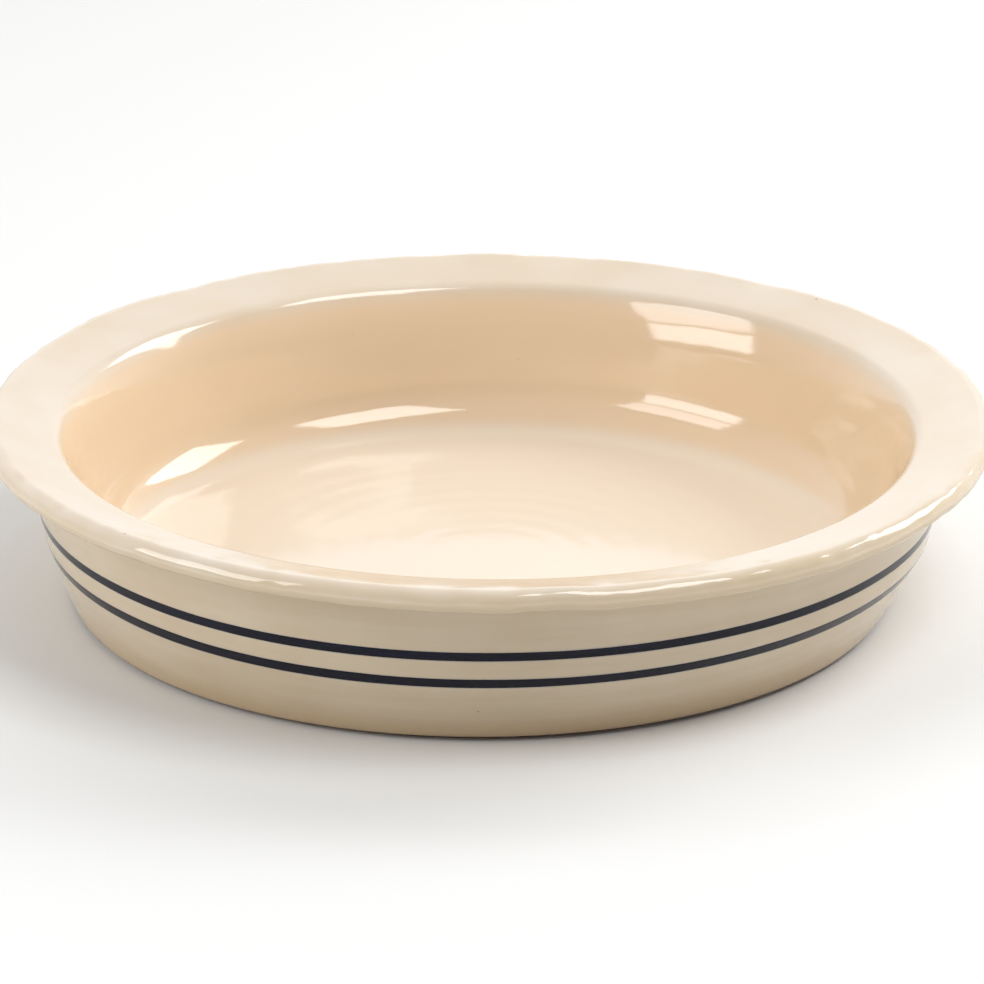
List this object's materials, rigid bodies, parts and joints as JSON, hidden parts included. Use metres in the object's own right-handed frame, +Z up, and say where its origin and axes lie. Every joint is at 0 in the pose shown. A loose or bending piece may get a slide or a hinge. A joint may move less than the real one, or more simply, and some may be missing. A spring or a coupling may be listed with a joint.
{
  "type": "pie dish",
  "caption": "Round thrown stoneware pie dish with a broad sloping flange, a coved inside, a smaller turned foot and two narrow dark blue bands round the wall.",
  "frame": {"origin": "centre of the foot, on the surface that the dish stands on", "axes": "+Z up along the dish's axis; X and Y are equivalent, because the dish is round"},
  "size_m": [0.2794, 0.2794, 0.052],
  "materials": {
    "bare_stoneware": "matt",
    "cream_glaze": "gloss",
    "blue_band": "gloss"
  },
  "bodies": {
    "root": {"stoneware_body": "bare_stoneware", "inner_glaze": "cream_glaze", "outer_glaze": "cream_glaze", "upper_band": "blue_band", "lower_band": "blue_band"}
  },
  "joints": []
}
